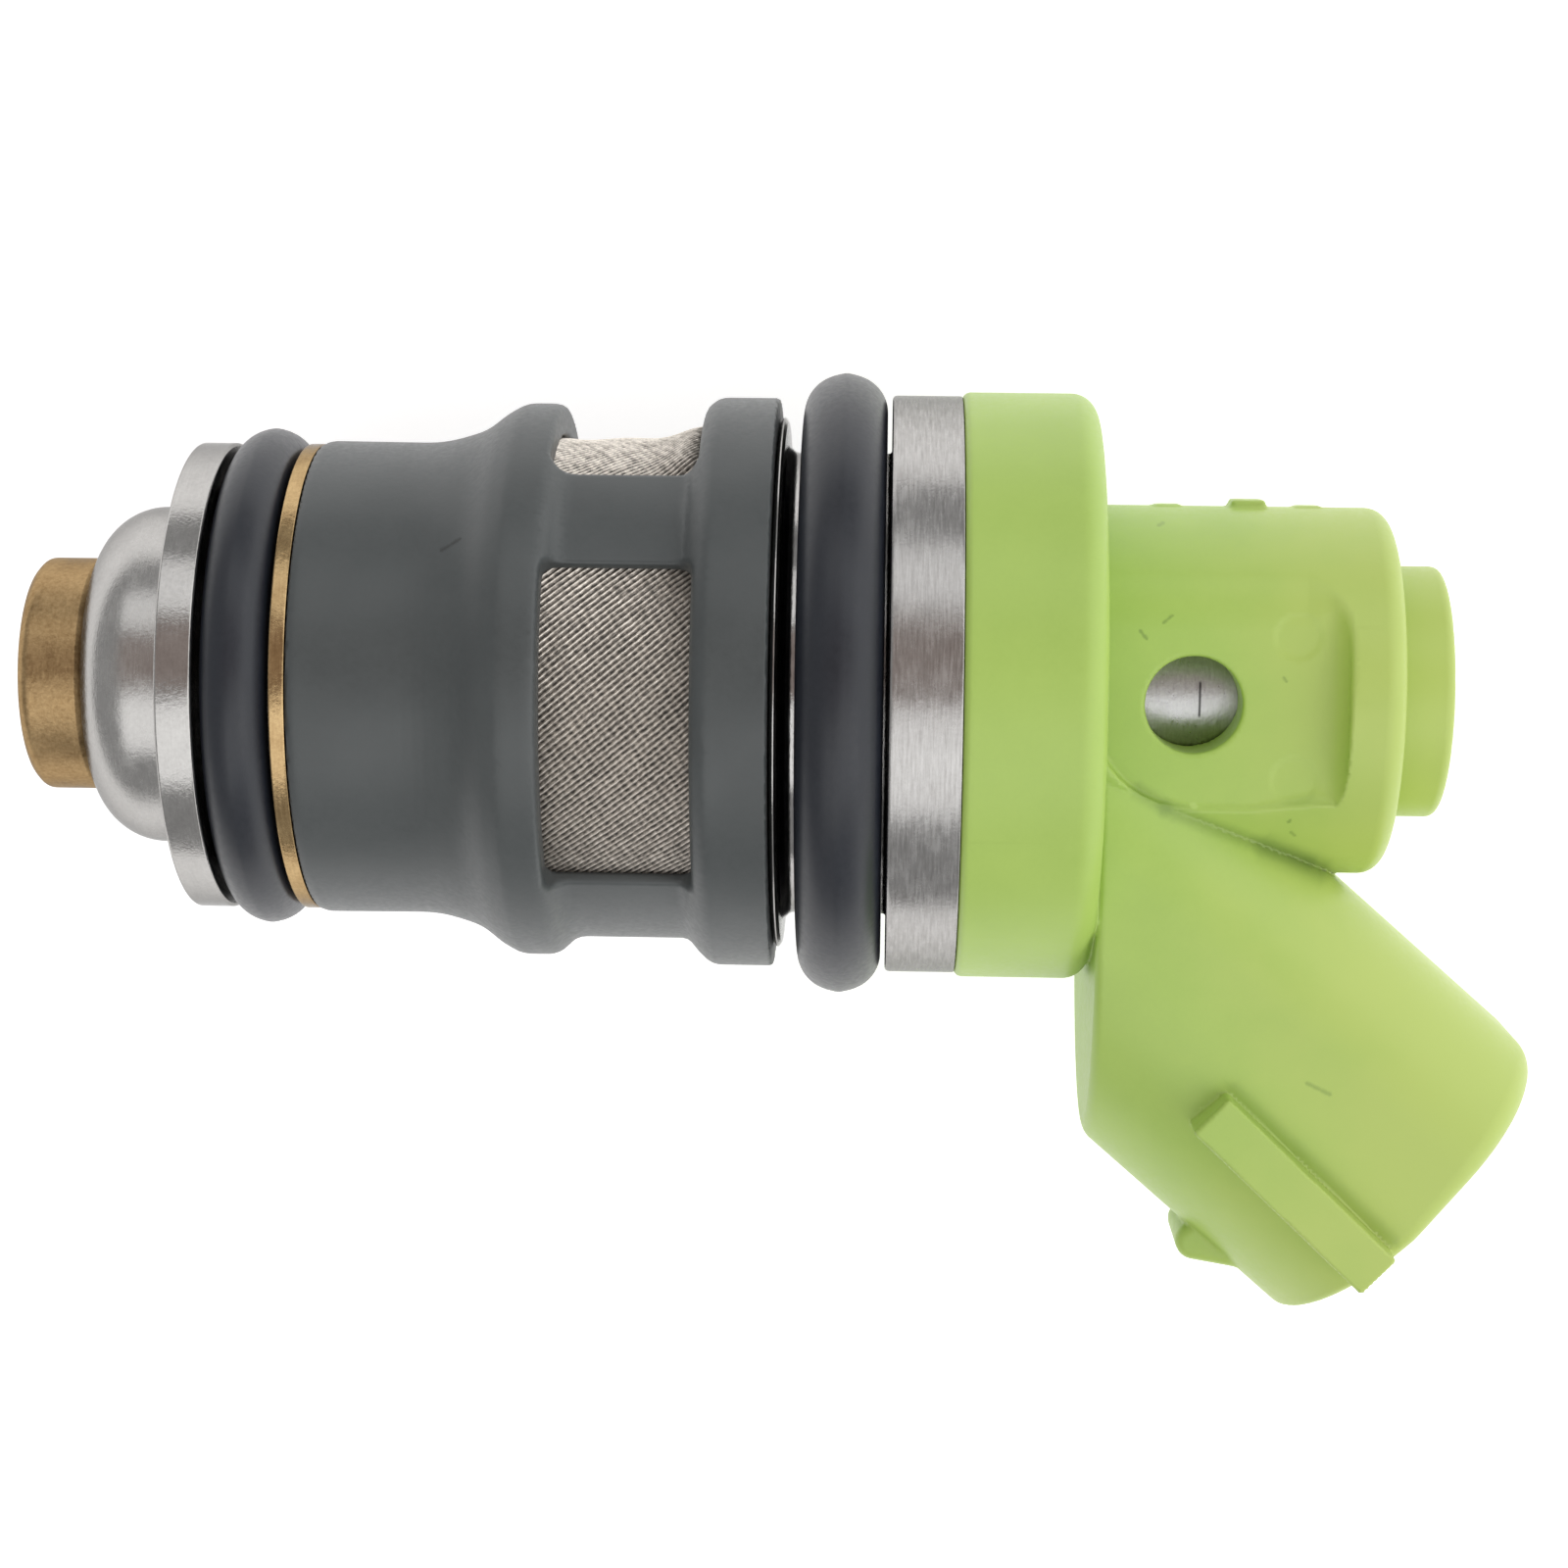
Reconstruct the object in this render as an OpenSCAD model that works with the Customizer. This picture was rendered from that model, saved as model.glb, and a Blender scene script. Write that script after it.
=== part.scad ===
// Side-feed fuel injector, lying on its side.
// X runs along the injector's axis: the nozzle points to -X and the end cap to +X.
// The electrical socket leaves towards +X and -Y, and the moulding is symmetric about Z = 0.
// The origin is on the axis, at the nozzle-side face of the steel pilot ring.
// Turned parts are drawn as [radius, x] profiles.

/* [Nozzle] */
// Radius of the brass spray tip
tip_r = 4.55; // [4.4:0.05:4.6]
// X of the tip's front face
tip_front = -33.35; // [-34.5:0.1:-32.5]
// Radius of the satin flange behind the nozzle's dome
flange_r = 9.13; // [8.6:0.01:9.2]
// Radius of the nozzle body's shank, under the small O-ring and the filter
shank_r = 7.2; // [7.1:0.05:7.25]
// Radius of the needle's guide bore
guide_bore_r = 2.0; // [1.9:0.05:2.1]

/* [Needle valve] */
// Distance the needle lifts off its seat
lift = 0.12; // [0.06:0.01:0.15]
// Radial running clearance of the needle's guide lands
guide_clearance = 0.015; // [0.01:0.005:0.03]
// Radius of the armature
armature_r = 3.9; // [3.7:0.05:3.92]
// Turns of the return spring
spring_turns = 9; // [7:1:10]
// Diameter of the return spring's wire
spring_wire = 0.44; // [0.36:0.02:0.5]

/* [Filter] */
// Radius of the filter cage's narrow sleeve
cage_sleeve_r = 9.25; // [9.2:0.01:9.3]
// Radius of the raised ring on the nozzle side of the windows
cage_ring_r = 10.8; // [10.6:0.05:11]
// Radius of the raised ring on the cap side of the windows
cage_end_r = 11.1; // [10.9:0.05:11.3]
// Radius of the struts between the windows
strut_r = 10.1; // [10:0.05:10.3]
// Angle covered by each window
window_angle = 73; // [60:1:80]
// Outer radius of the filter gauze
gauze_r = 9.55; // [9.45:0.05:9.6]
// Thickness of the filter gauze
gauze_thickness = 0.25; // [0.2:0.01:0.3]

/* [Housing and seals] */
// Radius of the steel pilot ring
pilot_r = 11.25; // [11.15:0.05:11.3]
// Width of the steel pilot ring
pilot_w = 2.7; // [2.6:0.05:2.8]
// Radius of the bottom of the large O-ring's groove
groove_r = 9.0; // [8.9:0.05:9.02]
// Outer radius of the large O-ring
upper_ring_r = 12.1; // [12:0.05:12.2]
// Outer radius of the small O-ring
lower_ring_r = 9.72; // [9.7:0.01:9.78]

/* [Top moulding] */
// Radius of the moulded disc
disc_r = 11.4; // [11.2:0.05:11.6]
// X of the disc's cap-side face
disc_end = 7.9; // [7.8:0.05:8]
// Radius of the neck
neck_r = 7.12; // [6.9:0.02:7.2]
// X of the neck's end
neck_end = 19.2; // [19.0:0.1:19.6]
// Radius of the small boss on the neck's end
boss_r = 4.88; // [4.5:0.02:5.2]
// X of the boss's flat end
boss_end = 21.3; // [20.9:0.1:21.8]
// Distance from the axis to the flat around the sight hole
flat_z = 5.8; // [5.7:0.05:5.9]
// X of the sight hole's centre
sight_x = 11.4; // [11.3:0.05:11.5]
// Radius of the sight hole
sight_r = 1.82; // [1.6:0.02:2]

/* [Electrical socket] */
// Angle between the injector's axis and the socket's axis
socket_angle = 41; // [40:0.5:42]
// Distance along the socket's axis from the origin to its mouth
socket_mouth = 28.55; // [28:0.05:28.8]
// Half the socket's width across the two terminals
socket_half_w = 6.9; // [6.8:0.05:7.1]
// Thickness of the socket's wall
socket_wall = 1.2; // [1.1:0.05:1.3]
// Depth of the socket
socket_depth = 8.6; // [8:0.1:9]
// Distance between the two terminals
terminal_pitch = 4.6; // [4.4:0.1:5]
// Width of each terminal blade
terminal_w = 2.2; // [2:0.1:2.4]
// Thickness of each terminal blade
terminal_t = 0.65; // [0.6:0.05:0.8]

/* [Hidden] */
$fn = 72;
eps = 0.01;
// Radial gap between pieces that are pressed or moulded together
slip = 0.02;

// Nozzle stations along X
dome_front = -30.75;
flange_front = -26.95;
flange_back = -25.55;
flange_edge = 0.12;
spigot_r = 3.6;
spigot_end = -29.1;
plate_end = -28.8;
seat_hole_r = 0.9;
seat_front = -27.9;
needle_nose = -28.0;
shank_end = -13.5;
tail_r = 6.0;
tail_end = -11.0;
stop_end = -10.0;
collar_room_r = 2.9;
collar_room_front = -15.2;
gallery_r = 2.8;
gallery_front = -23.6;
gallery_back = -18.0;
body_feed_x = -14.6;

// Dome: a round front of this radius, swept about a ring of this radius
dome_round = 2.5;
dome_ring_r = 4.1;
dome_x = -28.4;

// Seals: the circle's radius and its place
lower_ring_x = -24.1;
lower_ring_section = (lower_ring_r - shank_r - slip) / 2;
upper_ring_x = -1.78;
upper_ring_section = (upper_ring_r - groove_r - slip) / 2;

// Filter stations along X
backup_front = -22.72;
backup_r = 9.13;
cage_front = -22.1;
cage_cone_front = -17.4;
window_front = -12.7;
window_back = -7.2;
window_centres = [-5.5, 92.5, 223.5];
gauze_front = -13.3;
gauze_back = -6.5;
cage_back = -4.36;
cage_bore_r = shank_r + 0.05;
feed_hole_r = 0.8;

// Housing and magnetic circuit
lip_front = -4.3;
lip_r = 10.35;
lip_w = 0.3;
skirt_r = 7.0;
housing_feed_x = -8.2;
coil_room_r = 7.6;
coil_room_front = -3.2;
barrel_r = 9.6;
barrel_end = 6.9;
spool_front = -2.2;
spool_back = 5.0;
spool_r = 7.4;
spool_barrel_r = 4.7;
spool_wall = 0.75;
winding_r = 7.0;
return_plate_front = 6.0;
coil_seal_section = 0.48;
lower_coil_seal_r = 4.65;
upper_coil_seal_r = 4.45;
armature_front = -9.0;
armature_back = -1.3;
air_gap = lift + 0.06;
core_r = 3.9;
core_end = neck_end + 0.5;
core_bore_r = 1.7;
spring_room_front = -6.0;
spring_room_r = 1.8;
pin_front = 5.4;
pin_r = 1.65;
pin_groove_x = 15.5;
pin_groove_w = 1.0;
pin_groove_r = 1.05;
stem_r = 1.4;
running_gap = 0.05;

// Socket section: distances across the socket's axis, positive on the end-cap side
socket_top = 6.05;
socket_round_v = -1.25;
socket_corner = 5.0;
terminal_v = -2.4;
terminal_end = 24.2;
terminal_bend_x = 9.2;
terminal_root_x = 5.05;
terminal_root_y = -5.6;
rail_angle = 2.4;

// Turned shape: its 2-D children are [radius, x] profiles
module turned() rotate([0, 90, 0]) rotate_extrude() children();

// Rectangle of a turned profile
module band(x0, x1, r1, r0 = 0) translate([r0, x0]) square([r1 - r0, x1 - x0]);

// Straight taper of a turned profile, from radius r0 at x0 to radius r1 at x1
module taper(x0, r0, x1, r1) polygon([[0, x0], [r0, x0], [r1, x1], [0, x1]]);

// Rectangle of a turned profile with a rounded corner at its +X end
module rounded_band(x0, x1, r, corner) {
    band(x0, x1 - corner, r);
    band(x0, x1, r - corner);
    translate([r - corner, x1 - corner]) circle(corner);
}

// Ring of round section
module o_ring(x, ring_r, section) turned() translate([ring_r, x]) circle(section);

// Holes of radius r drilled in from all round, at x
module radial_holes(x, r, count, turn = 0)
    for (i = [0 : count - 1])
        rotate([turn + i * 360 / count, 0, 0]) translate([x, 0, 0]) cylinder(h = 20, r = r);

// Puts a shape drawn in the socket's own plane in place: its X is the socket's axis
module along_socket() rotate([0, 0, -socket_angle]) children();

// ---- Nozzle ----

// Brass tip: a stepped plug with a flared spray hole
module nozzle_tip() {
    lead = 0.35;
    spray_r = 1.4;
    flare_r = 2.4;
    color("#a5824f") difference() {
        turned() {
            taper(tip_front, tip_r - lead, tip_front + lead, tip_r);
            band(tip_front + lead, dome_front, tip_r);
            band(dome_front, spigot_end, spigot_r);
        }
        turned() {
            taper(tip_front - eps, flare_r, tip_front + 1.6, spray_r);
            band(tip_front + 1.6, spigot_end + eps, spray_r);
        }
    }
}

// Thin plate that splits the fuel into four jets
module orifice_plate() {
    jet_r = 0.22;
    jet_ring = 0.55;
    color("#b9bbbd") difference() {
        turned() band(spigot_end, plate_end, spigot_r);
        for (a = [45 : 90 : 315])
            translate([spigot_end - 1, jet_ring * cos(a), jet_ring * sin(a)])
                rotate([0, 90, 0]) cylinder(h = 3, r = jet_r, $fn = 24);
    }
}

// Outline of the nozzle body before it is bored
module nozzle_body_outline() {
    intersection() {
        translate([dome_ring_r, dome_x]) circle(dome_round);
        band(dome_front, dome_x + dome_round, flange_r);
    }
    band(dome_front, flange_front, dome_ring_r);
    band(dome_x, flange_front, dome_ring_r + dome_round);
    taper(flange_front, flange_r - flange_edge, flange_front + flange_edge, flange_r);
    band(flange_front + flange_edge, flange_back - flange_edge, flange_r);
    taper(flange_back - flange_edge, flange_r, flange_back, flange_r - flange_edge);
    band(flange_back, shank_end, shank_r);
    band(shank_end, tail_end, tail_r);
}

// Steel valve body: dome, flange and shank, with the seat and the needle's guide bore
module nozzle_body() {
    seat_back = seat_front + guide_bore_r - seat_hole_r;
    color("#c2c2c0") difference() {
        turned() nozzle_body_outline();
        turned() {
            band(dome_front - 1, plate_end, spigot_r + slip);
            band(plate_end - eps, seat_front, seat_hole_r);
            taper(seat_front, seat_hole_r, seat_back, guide_bore_r);
            band(seat_back, collar_room_front, guide_bore_r);
            band(gallery_front, gallery_back, gallery_r);
            band(collar_room_front, tail_end + eps, collar_room_r);
        }
        radial_holes(body_feed_x, feed_hole_r, 4);
    }
}

// ---- Needle valve ----

// Needle: cone nose, two guide lands with flow flats, stop collar and stem
module needle() {
    seat_gap = 0.015;
    nose_r = seat_hole_r + needle_nose - seat_front - seat_gap;
    neck = 1.5;
    neck_x = needle_nose + neck - nose_r;
    land_r = guide_bore_r - guide_clearance;
    land_w = 2.2;
    flat = 1.72;
    collar_r = 2.6;
    collar_w = 1.2;
    stem_end = spring_room_front - 0.1;
    lands = [-26.2, -17.6];
    stop_gap = 0.01;
    collar_back = tail_end - lift - stop_gap;
    color("#cfd1d3") {
        turned() {
            taper(needle_nose, nose_r, neck_x, neck);
            band(neck_x, lands[0], neck);
            band(lands[0], collar_back, stem_r - 0.1);
            band(collar_back - collar_w, collar_back, collar_r);
            band(collar_back, stem_end, stem_r);
        }
        for (x0 = lands)
            intersection() {
                turned() band(x0, x0 + land_w, land_r);
                translate([x0, -flat, -flat]) cube([land_w, 2 * flat, 2 * flat]);
            }
    }
}

// Iron armature, pressed on the needle's stem
module armature() {
    vent_x = -4.4;
    vent_r = 0.7;
    color("#9a9c9e") difference() {
        turned() band(armature_front, armature_back, armature_r);
        turned() {
            band(armature_front - 1, spring_room_front + eps, stem_r + slip / 2);
            band(spring_room_front, armature_back + 1, spring_room_r);
        }
        radial_holes(vent_x, vent_r, 2);
    }
}

// Slotted washer that the needle's collar strikes when the valve is fully open
module lift_stop() {
    hole_r = stem_r + 0.25;
    color("#aeb0b2") difference() {
        turned() band(tail_end, stop_end, tail_r);
        translate([tail_end - 1, 0, 0]) rotate([0, 90, 0]) cylinder(h = 3, r = hole_r);
        translate([tail_end - 1, 0, -hole_r]) cube([3, 8, 2 * hole_r]);
    }
}

// Wire swept along a helix, as rings of eight points
function spring_point(turn, ring, r, x0, pitch) =
    let (a = 360 * turn, b = 360 * ring / 8, s = spring_wire / 2)
    [x0 + pitch * turn + s * sin(b), (r + s * cos(b)) * cos(a), (r + s * cos(b)) * sin(a)];

// Return spring between the armature and the adjusting pin
module return_spring() {
    steps = 16;
    end_gap = 0.03;
    spring_r = core_bore_r - spring_wire / 2 - 0.1;
    x0 = spring_room_front + spring_wire / 2 + end_gap;
    x1 = pin_front - spring_wire / 2 - end_gap;
    count = spring_turns * steps;
    pitch = (x1 - x0) / spring_turns;
    points = [for (i = [0 : count], j = [0 : 7]) spring_point(i / steps, j, spring_r, x0, pitch)];
    sides = [for (i = [0 : count - 1], j = [0 : 7])
        [i * 8 + j, (i + 1) * 8 + j, (i + 1) * 8 + (j + 1) % 8, i * 8 + (j + 1) % 8]];
    first = [for (j = [0 : 7]) j];
    last = [for (j = [7 : -1 : 0]) count * 8 + j];
    color("#8f9193") polyhedron(points, concat([first, last], sides));
}

// ---- Seals and filter ----

// Small O-ring behind the nozzle flange
module lower_o_ring()
    color("#23262b") o_ring(lower_ring_x, lower_ring_r - lower_ring_section, lower_ring_section);

// Brass ring that backs the small O-ring
module backup_ring()
    color("#a5824f") turned() band(backup_front, cage_front - slip, backup_r, cage_bore_r);

// Outline of the cage: sleeve, cone, two raised rings and the struts between them
module cage_outline() polygon([
    [0, cage_front], [cage_sleeve_r - 0.13, cage_front], [cage_sleeve_r, cage_front + 0.35],
    [cage_sleeve_r - 0.03, cage_cone_front], [9.7, -15.8], [9.95, -15.3], [10.45, -14.75],
    [cage_ring_r, -14.25], [cage_ring_r, window_front], [strut_r + 0.25, window_front + 0.25],
    [strut_r, window_front + 0.6], [strut_r, window_back - 0.2], [10.6, window_back - 0.06],
    [cage_end_r - 0.1, window_back + 0.3], [cage_end_r, window_back + 0.65],
    [cage_end_r, cage_back - 0.15], [cage_end_r - 0.15, cage_back], [0, cage_back]]);

// Window through the cage's wall, centred on +Z
module cage_window()
    rotate([0, 90, 0]) rotate([0, 0, 180 - window_angle / 2])
        rotate_extrude(angle = window_angle)
            band(window_front, window_back, cage_end_r + 1, gauze_r - 0.75);

// Grey plastic cage that carries the filter gauze
module filter_cage() {
    well_front = -16.4;
    well_r = 8.6;
    color("#565a5b") difference() {
        turned() cage_outline();
        turned() {
            band(cage_front - 1, well_front, cage_bore_r);
            band(well_front - eps, gauze_front, well_r);
            band(gauze_front, gauze_back, gauze_r + slip);
            band(gauze_back - eps, cage_back + 1, skirt_r + slip);
        }
        for (a = window_centres)
            rotate([-a, 0, 0]) cage_window();
    }
}

// Fine gauze sleeve behind the windows
module filter_gauze()
    color("#9a9184") turned() band(gauze_front, gauze_back, gauze_r, gauze_r - gauze_thickness);

// Large O-ring in the housing's groove
module upper_o_ring()
    color("#23262b") o_ring(upper_ring_x, upper_ring_r - upper_ring_section, upper_ring_section);

// ---- Magnet ----

// Steel housing: skirt, O-ring groove, pilot ring and the barrel round the coil
module housing() {
    edge = 0.12;
    fillet = 0.3;
    color("#a9a9a7") difference() {
        turned() {
            band(shank_end, lip_front, skirt_r);
            band(lip_front, lip_front + lip_w, lip_r);
            taper(lip_front + lip_w, groove_r + fillet, lip_front + lip_w + fillet, groove_r);
            band(lip_front + lip_w, 0, groove_r);
            taper(0, pilot_r - edge, edge, pilot_r);
            band(edge, pilot_w, pilot_r);
            band(pilot_w, barrel_end, barrel_r);
        }
        turned() {
            band(shank_end - 1, stop_end, tail_r + slip);
            band(stop_end - eps, coil_room_front, armature_r + running_gap);
            band(coil_room_front - eps, barrel_end + 1, coil_room_r);
        }
        radial_holes(housing_feed_x, feed_hole_r, 4);
    }
}

// Plastic spool that the coil is wound on
module bobbin() {
    bore_r = core_r + 0.1;
    color("#3b3d3f") turned() {
        band(spool_front, spool_back, spool_barrel_r, bore_r);
        band(spool_front, spool_front + spool_wall, spool_r, bore_r);
        band(spool_back - spool_wall, spool_back, spool_r, bore_r);
    }
}

// Copper winding
module coil_winding()
    color("#b5713c") turned()
        band(spool_front + spool_wall + slip, spool_back - spool_wall - slip, winding_r,
            spool_barrel_r + slip);

// Seal between the spool and the housing's floor
module lower_coil_seal()
    color("#23262b") o_ring((coil_room_front + spool_front) / 2, lower_coil_seal_r, coil_seal_section);

// Seal between the spool and the return plate
module upper_coil_seal()
    color("#23262b") o_ring((spool_back + return_plate_front) / 2, upper_coil_seal_r, coil_seal_section);

// Iron plate that closes the magnetic circuit, slotted for the terminals
module return_plate() {
    slot_w = terminal_w + 0.8;
    slot_h = terminal_t + 0.8;
    color("#8e9092") difference() {
        turned() band(return_plate_front, barrel_end, coil_room_r - slip, core_r + slip);
        for (side = [-1, 1])
            translate([return_plate_front - 0.5, terminal_root_y - slot_h / 2,
                side * terminal_pitch / 2 - slot_w / 2])
                cube([barrel_end - return_plate_front + 1, slot_h, slot_w]);
    }
}

// Fixed core: pole piece in the coil, carried on as a tube through the neck
module core_tube()
    color("#b4b6b8") turned() band(armature_back + air_gap, core_end, core_r, core_bore_r);

// Pin that sets the spring's load, with a groove for its seal
module adjusting_pin()
    color("#c9a25e") turned() {
        band(pin_front, pin_groove_x - pin_groove_w / 2, pin_r);
        band(pin_groove_x - pin_groove_w / 2, pin_groove_x + pin_groove_w / 2, pin_groove_r);
        band(pin_groove_x + pin_groove_w / 2, core_end - 0.4, pin_r);
    }

// Seal in the adjusting pin's groove
module adjuster_o_ring() {
    section = 0.3;
    color("#23262b") o_ring(pin_groove_x, core_bore_r - section - slip, section);
}

// ---- Terminals and moulding ----

// Flat strip from p to q in the XY plane, of the terminal's thickness
module strip(p, q) {
    run = q - p;
    translate(p) rotate(atan2(run[1], run[0]))
        translate([-terminal_t / 2, -terminal_t / 2]) square([norm(run) + terminal_t, terminal_t]);
}

// Point in the XY plane at distance u along the socket's axis and v across it
function socket_point(u, v) =
    [u * cos(socket_angle) + v * sin(socket_angle), -u * sin(socket_angle) + v * cos(socket_angle)];

// Terminal blade: out of the coil, across the moulding and along the socket
module terminal(side) {
    bend_y = (terminal_v - terminal_bend_x * sin(socket_angle)) / cos(socket_angle);
    root = [terminal_root_x, terminal_root_y];
    knee = [terminal_bend_x, terminal_root_y];
    bend = [terminal_bend_x, bend_y];
    tip = socket_point(terminal_end, terminal_v);
    translate([0, 0, side * terminal_pitch / 2 - terminal_w / 2])
        linear_extrude(terminal_w) {
            strip(root + [terminal_t / 2, 0], knee);
            strip(knee, bend);
            strip(bend, tip);
        }
}

// Terminal on the -Z side
module terminal_left() color("#c3b47a") terminal(-1);

// Terminal on the +Z side
module terminal_right() color("#c3b47a") terminal(1);

// Section of the socket, grown by the amount given: round below, a rounded flat above.
// It is drawn as [distance across the axis, z].
module socket_section(grow = 0) {
    half = socket_half_w + grow;
    top = socket_top + grow;
    corner = socket_corner + grow;
    translate([socket_round_v, 0]) circle(half);
    translate([socket_round_v, -half]) square([top - corner - socket_round_v, 2 * half]);
    translate([socket_round_v, corner - half])
        square([top - socket_round_v, 2 * (half - corner)]);
    for (side = [-1, 1])
        translate([top - corner, side * (half - corner)]) circle(corner);
}

// Straight bar with the socket's section, from u0 to u1 along its axis
module socket_bar(u0, u1, grow = 0)
    along_socket() translate([u0, 0, 0]) rotate([90, 0, 90]) linear_extrude(u1 - u0)
        socket_section(grow);

// Guide rail that runs to the socket's mouth, on the side given
module guide_rail(side) {
    rail_length = 8.9;
    rail_end = socket_mouth - 0.5;
    rail_w = 1.87;
    rail_v = -4.72;
    rail_root = 4.0;
    rail_top = 8.0;
    mirror([0, 0, side < 0 ? 1 : 0]) along_socket() translate([rail_end, rail_v, 0])
        rotate([0, 0, -rail_angle]) translate([-rail_length, 0, rail_root])
            cube([rail_length, rail_w, rail_top - rail_root]);
}

// Catch on the socket's underside: a round nose with a ramp towards the mouth
module catch_nose() {
    catch_w = 4.0;
    nose_r = 0.76;
    nose_u = 23.66;
    nose_v = -8.29;
    ramp_front_v = nose_v - nose_r + 0.08;
    ramp_back_u = 25.7;
    ramp_back_v = -8.06;
    root_v = -6.5;
    along_socket() translate([0, 0, -catch_w / 2]) linear_extrude(catch_w) {
        translate([nose_u, nose_v]) circle(nose_r);
        polygon([[nose_u, root_v], [nose_u, ramp_front_v], [ramp_back_u, ramp_back_v],
            [ramp_back_u, root_v]]);
    }
}

// Flat around the sight hole, with a rounded corner beside the socket
module sight_flat() {
    end_x = 17.05;
    corner = 3.85;
    low_y = -3.95;
    high_y = 6.0;
    depth = 5;
    intersection() {
        translate([0, 0, flat_z]) linear_extrude(depth) {
            translate([sight_x, 0]) circle(corner);
            translate([disc_end, 0]) square([end_x - disc_end, high_y]);
            translate([sight_x, low_y]) square([end_x - sight_x, high_y - low_y]);
        }
        translate([disc_end, -high_y, flat_z]) cube([end_x, 2 * high_y, depth]);
    }
}

// Gate mark on the neck's parting line
module gate_mark() {
    gate_x = 13.1;
    gate_length = 1.35;
    gate_w = 1.4;
    gate_h = 0.28;
    translate([gate_x, neck_r - 0.5, -gate_w / 2]) cube([gate_length, gate_h + 0.5, gate_w]);
}

// Green moulding before its hollows are cut: disc, neck, boss, socket, rails and catch
module moulding_outline() {
    disc_corner = 1.0;
    neck_corner = 0.8;
    boss_corner = 0.35;
    socket_root = 4.0;
    reach = 40;
    turned() {
        rounded_band(pilot_w, disc_end, disc_r, disc_corner);
        rounded_band(pilot_w, neck_end, neck_r, neck_corner);
        rounded_band(pilot_w, boss_end, boss_r, boss_corner);
    }
    intersection() {
        union() {
            socket_bar(socket_root, socket_mouth);
            guide_rail(1);
            guide_rail(-1);
            catch_nose();
        }
        translate([disc_end, -reach, -reach / 2]) cube([reach, reach, reach]);
    }
    gate_mark();
}

// Green plastic moulding
module top_moulding() {
    color("#a9c264") difference() {
        moulding_outline();
        turned() {
            band(pilot_w - 1, barrel_end, barrel_r + slip);
            band(barrel_end - eps, core_end + 0.1, core_r + slip);
        }
        socket_bar(socket_mouth - socket_depth, socket_mouth + 1, -socket_wall);
        for (flip = [0, 1])
            mirror([0, 0, flip]) {
                sight_flat();
                translate([sight_x, 0, 0]) cylinder(h = 12, r = sight_r);
            }
        terminal(-1);
        terminal(1);
    }
}

nozzle_tip();
orifice_plate();
nozzle_body();
needle();
armature();
lift_stop();
lower_o_ring();
backup_ring();
filter_cage();
filter_gauze();
housing();
upper_o_ring();
bobbin();
coil_winding();
lower_coil_seal();
upper_coil_seal();
return_plate();
core_tube();
return_spring();
adjusting_pin();
adjuster_o_ring();
terminal_left();
terminal_right();
top_moulding();
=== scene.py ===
"""Looks of the side-feed fuel injector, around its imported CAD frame.

Shapes are worked out in millimetres in the CAD's own frame (X along the axis, nozzle at -X),
from the boxes of the CAD nodes, and turned into metres when their meshes are made.
"""

import math
from collections import namedtuple

import bpy
import numpy as np
from mathutils import Matrix, Vector


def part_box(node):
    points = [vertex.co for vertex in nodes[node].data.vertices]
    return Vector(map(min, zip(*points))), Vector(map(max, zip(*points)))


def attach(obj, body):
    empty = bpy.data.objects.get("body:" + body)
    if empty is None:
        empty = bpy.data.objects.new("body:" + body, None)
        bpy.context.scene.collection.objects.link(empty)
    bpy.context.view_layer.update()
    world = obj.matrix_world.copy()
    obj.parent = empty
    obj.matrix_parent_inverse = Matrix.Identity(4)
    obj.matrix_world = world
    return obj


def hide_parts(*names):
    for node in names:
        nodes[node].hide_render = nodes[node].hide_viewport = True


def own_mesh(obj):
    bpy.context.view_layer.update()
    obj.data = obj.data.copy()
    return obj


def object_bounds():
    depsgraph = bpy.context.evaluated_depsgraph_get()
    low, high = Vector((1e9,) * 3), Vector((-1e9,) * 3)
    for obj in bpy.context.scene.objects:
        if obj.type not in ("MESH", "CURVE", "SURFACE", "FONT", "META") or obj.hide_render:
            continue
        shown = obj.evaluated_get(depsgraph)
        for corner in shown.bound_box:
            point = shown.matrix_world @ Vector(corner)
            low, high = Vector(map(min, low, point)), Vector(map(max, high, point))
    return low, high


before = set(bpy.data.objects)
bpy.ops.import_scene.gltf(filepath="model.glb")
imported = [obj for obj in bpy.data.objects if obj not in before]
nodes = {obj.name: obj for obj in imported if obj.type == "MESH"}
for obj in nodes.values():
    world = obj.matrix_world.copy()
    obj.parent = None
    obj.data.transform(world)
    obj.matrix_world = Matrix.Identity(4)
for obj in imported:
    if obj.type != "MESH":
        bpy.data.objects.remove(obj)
cad_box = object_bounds()
MM = 0.001


# ---------------------------------------------------------------- reading the CAD frame


def ends(node):
    """Lowest and highest X of a CAD node, in mm."""
    lo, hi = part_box(node)
    return lo.x / MM, hi.x / MM


def radius(node):
    """Outer radius of a turned CAD node, in mm."""
    lo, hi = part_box(node)
    return max(hi.y, hi.z, -lo.y, -lo.z) / MM


# ---------------------------------------------------------------- turned pieces


def arc(x, r, size, start, end, count):
    """Points of a circle of the given size about (x, r), from one angle to another."""
    angles = np.radians(np.linspace(start, end, count))
    return [(x + size * math.cos(a), r + size * math.sin(a)) for a in angles]


CORNER_ROOM = 0.45  # share of the shorter neighbouring side that a rounding may take
FLAT_MARGIN = 0.04  # a point this far beyond a rounding keeps the flat side flat when it is shaded
LEAST_MARGIN = 0.004
SHARP_ANGLE = math.radians(28)


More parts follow.
